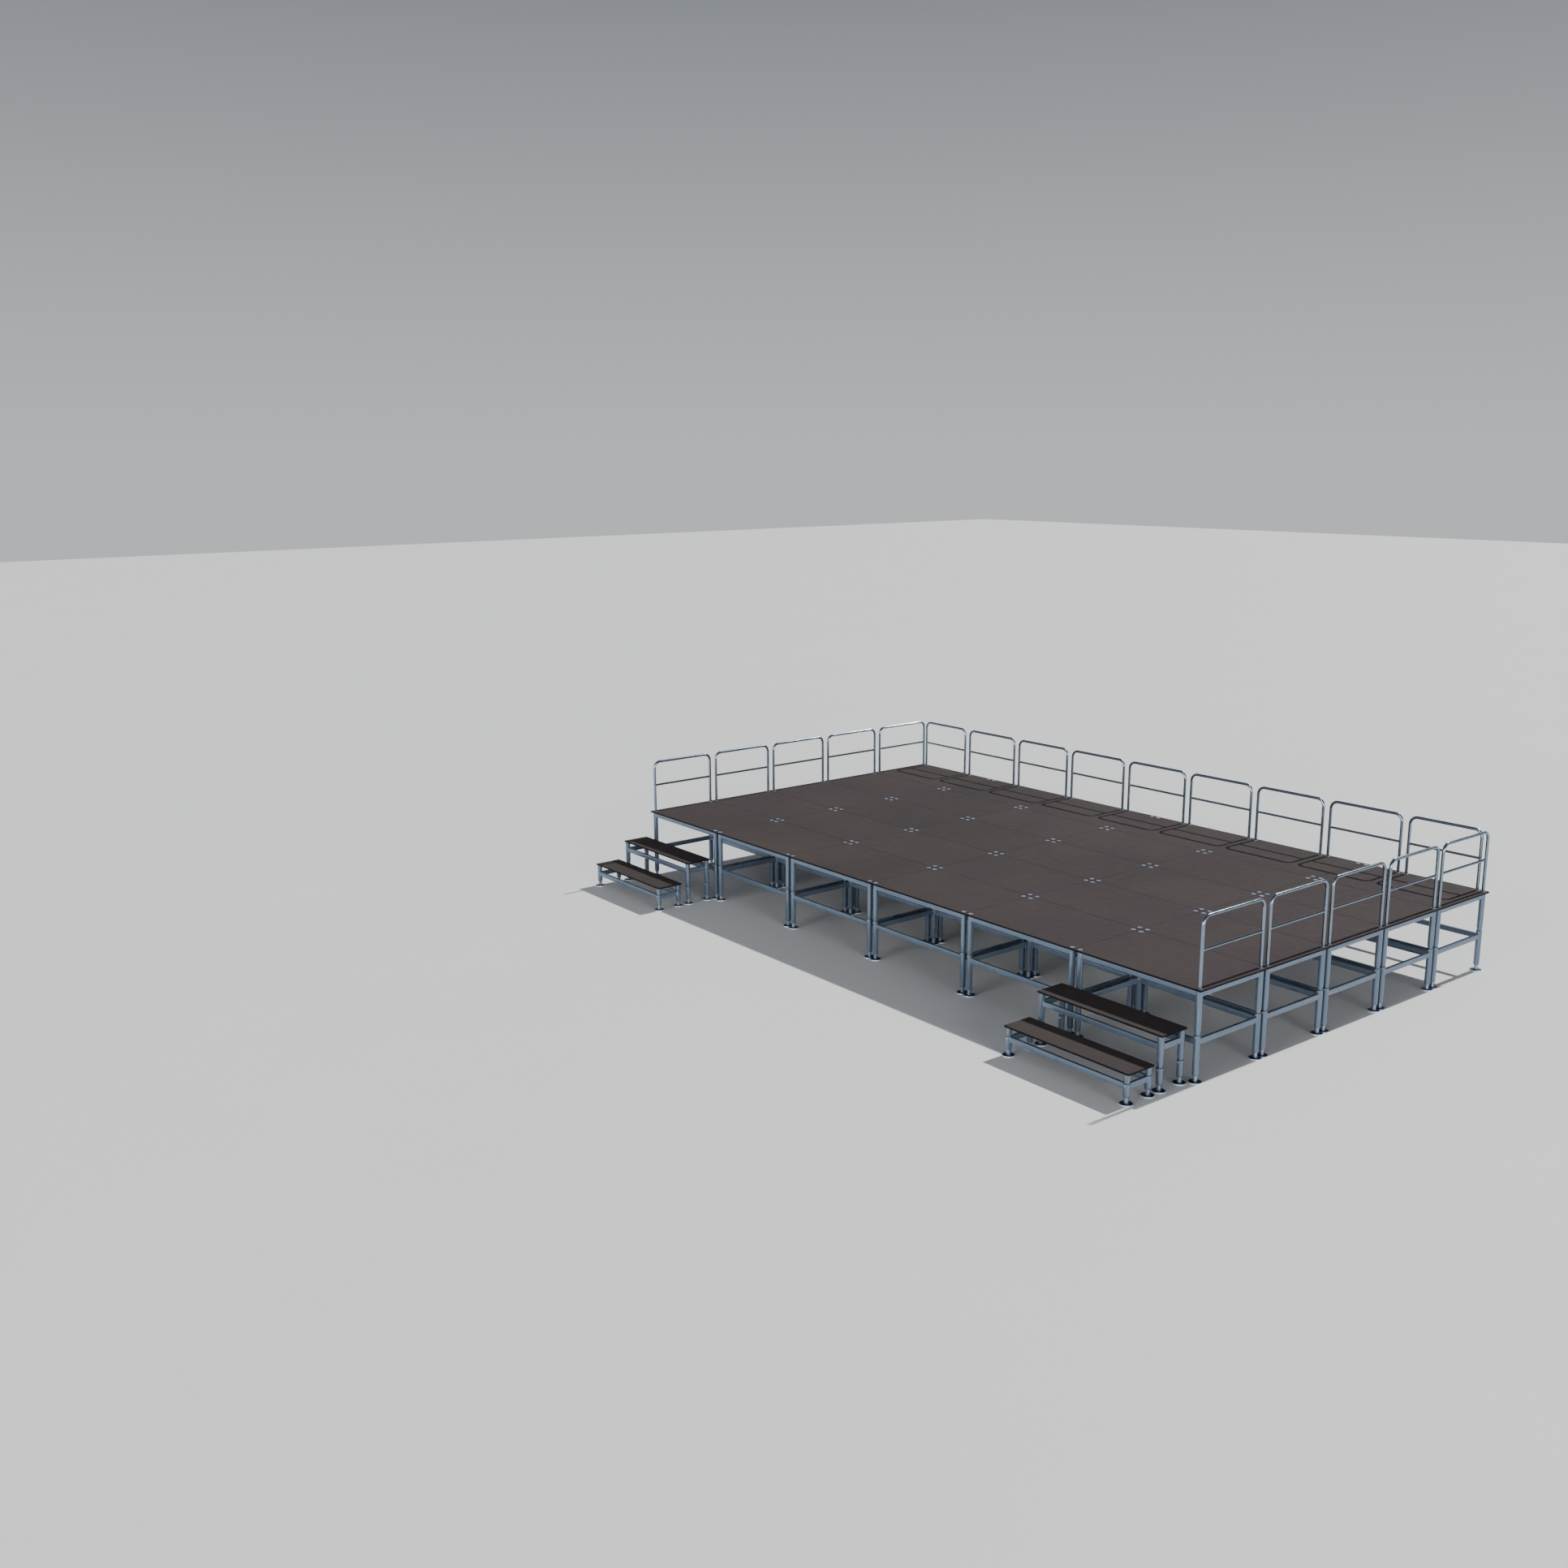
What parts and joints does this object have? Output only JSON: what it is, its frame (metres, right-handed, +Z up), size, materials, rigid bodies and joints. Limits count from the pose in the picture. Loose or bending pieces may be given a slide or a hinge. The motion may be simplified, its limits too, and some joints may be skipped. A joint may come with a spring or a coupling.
{
  "type": "stage riser platform",
  "caption": "Modular stage: deck boards on braced telescopic legs with levelling feet, plug-in guard rails on three sides and two flights of free-standing steps.",
  "frame": {"origin": "floor level, in the middle of the whole object's footprint, steps and foot pads included", "axes": "+X along the deck's open front edge, +Y from the front to the back rails, +Z up"},
  "size_m": [9.082, 5.882, 1.5869],
  "materials": {
    "stage_board": "matte anti-slip film-faced plywood",
    "rail_steel": "polished galvanised tube",
    "frame_aluminium": "satin",
    "foot_steel": "turned steel with a light rim",
    "socket_metal": "satin",
    "dark_cap": "satin",
    "zinc_bolt": "zinc plated",
    "clamp_steel": "zinc plated"
  },
  "bodies": {
    "feet": {"levelling_feet_row_1": "foot_steel", "levelling_feet_row_2": "foot_steel", "levelling_feet_row_3": "foot_steel", "levelling_feet_row_4": "foot_steel", "levelling_feet_row_5": "foot_steel"},
    "leg_base": {"leg_sleeves": "frame_aluminium", "long_braces": "frame_aluminium", "cross_braces": "frame_aluminium"},
    "deck": {"deck_boards": "stage_board", "long_beams": "frame_aluminium", "cross_beams": "frame_aluminium", "module_clamps": "clamp_steel", "clamp_bolts": "zinc_bolt", "leg_tubes": "frame_aluminium", "leg_sockets": "socket_metal", "beam_sockets": "socket_metal", "socket_caps": "socket_metal"},
    "guard_rail_left_1": {"guard_rail_left_1": "rail_steel"},
    "guard_rail_right_1": {"guard_rail_right_1": "rail_steel"},
    "guard_rail_left_2": {"guard_rail_left_2": "rail_steel"},
    "guard_rail_right_2": {"guard_rail_right_2": "rail_steel"},
    "guard_rail_left_3": {"guard_rail_left_3": "rail_steel"},
    "guard_rail_right_3": {"guard_rail_right_3": "rail_steel"},
    "guard_rail_left_4": {"guard_rail_left_4": "rail_steel"},
    "guard_rail_right_4": {"guard_rail_right_4": "rail_steel"},
    "guard_rail_left_5": {"guard_rail_left_5": "rail_steel"},
    "guard_rail_right_5": {"guard_rail_right_5": "rail_steel"},
    "guard_rail_back_1": {"guard_rail_back_1": "rail_steel"},
    "guard_rail_back_2": {"guard_rail_back_2": "rail_steel"},
    "guard_rail_back_3": {"guard_rail_back_3": "rail_steel"},
    "guard_rail_back_4": {"guard_rail_back_4": "rail_steel"},
    "guard_rail_back_5": {"guard_rail_back_5": "rail_steel"},
    "guard_rail_back_6": {"guard_rail_back_6": "rail_steel"},
    "guard_rail_back_7": {"guard_rail_back_7": "rail_steel"},
    "guard_rail_back_8": {"guard_rail_back_8": "rail_steel"},
    "guard_rail_back_9": {"guard_rail_back_9": "rail_steel"},
    "left_lower_base": {"left_lower_leg_sleeves": "frame_aluminium", "left_lower_braces": "frame_aluminium"},
    "left_lower_top": {"left_lower_tread": "stage_board", "left_lower_tread_caps": "dark_cap", "left_lower_leg_tubes": "frame_aluminium"},
    "left_lower_feet": {"left_lower_feet": "foot_steel"},
    "left_upper_base": {"left_upper_leg_sleeves": "frame_aluminium"},
    "left_upper_top": {"left_upper_tread": "stage_board", "left_upper_tread_caps": "dark_cap", "left_upper_leg_tubes": "frame_aluminium", "left_upper_braces": "frame_aluminium"},
    "left_upper_feet": {"left_upper_feet": "foot_steel"},
    "right_lower_base": {"right_lower_leg_sleeves": "frame_aluminium", "right_lower_braces": "frame_aluminium"},
    "right_lower_top": {"right_lower_tread": "stage_board", "right_lower_tread_caps": "dark_cap", "right_lower_leg_tubes": "frame_aluminium"},
    "right_lower_feet": {"right_lower_feet": "foot_steel"},
    "right_upper_base": {"right_upper_leg_sleeves": "frame_aluminium"},
    "right_upper_top": {"right_upper_tread": "stage_board", "right_upper_tread_caps": "dark_cap", "right_upper_leg_tubes": "frame_aluminium", "right_upper_braces": "frame_aluminium"},
    "right_upper_feet": {"right_upper_feet": "foot_steel"}
  },
  "joints": [
    {"name": "level_stage", "type": "slide", "parent": "feet", "child": "leg_base", "axis": [0, 0, 1], "range_m": [0, 0.03]},
    {"name": "deck_height", "type": "slide", "parent": "leg_base", "child": "deck", "axis": [0, 0, 1], "range_m": [0, 0.12]},
    {"name": "move_left_upper_step", "type": "slide", "parent": "feet", "child": "left_upper_feet", "axis": [0, -1, 0], "range_m": [0, 0.6]},
    {"name": "move_left_lower_step", "type": "slide", "parent": "left_upper_feet", "child": "left_lower_feet", "axis": [0, -1, 0], "range_m": [0, 0.6]},
    {"name": "move_right_upper_step", "type": "slide", "parent": "feet", "child": "right_upper_feet", "axis": [0, -1, 0], "range_m": [0, 0.6]},
    {"name": "move_right_lower_step", "type": "slide", "parent": "right_upper_feet", "child": "right_lower_feet", "axis": [0, -1, 0], "range_m": [0, 0.6]},
    {"name": "left_lower_height", "type": "slide", "parent": "left_lower_base", "child": "left_lower_top", "axis": [0, 0, 1], "range_m": [0, 0.025]},
    {"name": "left_lower_level", "type": "slide", "parent": "left_lower_feet", "child": "left_lower_base", "axis": [0, 0, 1], "range_m": [0, 0.03]},
    {"name": "left_upper_height", "type": "slide", "parent": "left_upper_base", "child": "left_upper_top", "axis": [0, 0, 1], "range_m": [0, 0.05]},
    {"name": "left_upper_level", "type": "slide", "parent": "left_upper_feet", "child": "left_upper_base", "axis": [0, 0, 1], "range_m": [0, 0.03]},
    {"name": "right_lower_height", "type": "slide", "parent": "right_lower_base", "child": "right_lower_top", "axis": [0, 0, 1], "range_m": [0, 0.025]},
    {"name": "right_lower_level", "type": "slide", "parent": "right_lower_feet", "child": "right_lower_base", "axis": [0, 0, 1], "range_m": [0, 0.03]},
    {"name": "right_upper_height", "type": "slide", "parent": "right_upper_base", "child": "right_upper_top", "axis": [0, 0, 1], "range_m": [0, 0.05]},
    {"name": "right_upper_level", "type": "slide", "parent": "right_upper_feet", "child": "right_upper_base", "axis": [0, 0, 1], "range_m": [0, 0.03]},
    {"name": "lift_rail_left_1", "type": "slide", "parent": "deck", "child": "guard_rail_left_1", "axis": [0, 0, 1], "range_m": [0, 0.1]},
    {"name": "lift_rail_right_1", "type": "slide", "parent": "deck", "child": "guard_rail_right_1", "axis": [0, 0, 1], "range_m": [0, 0.1]},
    {"name": "lift_rail_left_2", "type": "slide", "parent": "deck", "child": "guard_rail_left_2", "axis": [0, 0, 1], "range_m": [0, 0.1]},
    {"name": "lift_rail_right_2", "type": "slide", "parent": "deck", "child": "guard_rail_right_2", "axis": [0, 0, 1], "range_m": [0, 0.1]},
    {"name": "lift_rail_left_3", "type": "slide", "parent": "deck", "child": "guard_rail_left_3", "axis": [0, 0, 1], "range_m": [0, 0.1]},
    {"name": "lift_rail_right_3", "type": "slide", "parent": "deck", "child": "guard_rail_right_3", "axis": [0, 0, 1], "range_m": [0, 0.1]},
    {"name": "lift_rail_left_4", "type": "slide", "parent": "deck", "child": "guard_rail_left_4", "axis": [0, 0, 1], "range_m": [0, 0.1]},
    {"name": "lift_rail_right_4", "type": "slide", "parent": "deck", "child": "guard_rail_right_4", "axis": [0, 0, 1], "range_m": [0, 0.1]},
    {"name": "lift_rail_left_5", "type": "slide", "parent": "deck", "child": "guard_rail_left_5", "axis": [0, 0, 1], "range_m": [0, 0.1]},
    {"name": "lift_rail_right_5", "type": "slide", "parent": "deck", "child": "guard_rail_right_5", "axis": [0, 0, 1], "range_m": [0, 0.1]},
    {"name": "lift_rail_back_1", "type": "slide", "parent": "deck", "child": "guard_rail_back_1", "axis": [0, 0, 1], "range_m": [0, 0.1]},
    {"name": "lift_rail_back_2", "type": "slide", "parent": "deck", "child": "guard_rail_back_2", "axis": [0, 0, 1], "range_m": [0, 0.1]},
    {"name": "lift_rail_back_3", "type": "slide", "parent": "deck", "child": "guard_rail_back_3", "axis": [0, 0, 1], "range_m": [0, 0.1]},
    {"name": "lift_rail_back_4", "type": "slide", "parent": "deck", "child": "guard_rail_back_4", "axis": [0, 0, 1], "range_m": [0, 0.1]},
    {"name": "lift_rail_back_5", "type": "slide", "parent": "deck", "child": "guard_rail_back_5", "axis": [0, 0, 1], "range_m": [0, 0.1]},
    {"name": "lift_rail_back_6", "type": "slide", "parent": "deck", "child": "guard_rail_back_6", "axis": [0, 0, 1], "range_m": [0, 0.1]},
    {"name": "lift_rail_back_7", "type": "slide", "parent": "deck", "child": "guard_rail_back_7", "axis": [0, 0, 1], "range_m": [0, 0.1]},
    {"name": "lift_rail_back_8", "type": "slide", "parent": "deck", "child": "guard_rail_back_8", "axis": [0, 0, 1], "range_m": [0, 0.1]},
    {"name": "lift_rail_back_9", "type": "slide", "parent": "deck", "child": "guard_rail_back_9", "axis": [0, 0, 1], "range_m": [0, 0.1]}
  ]
}
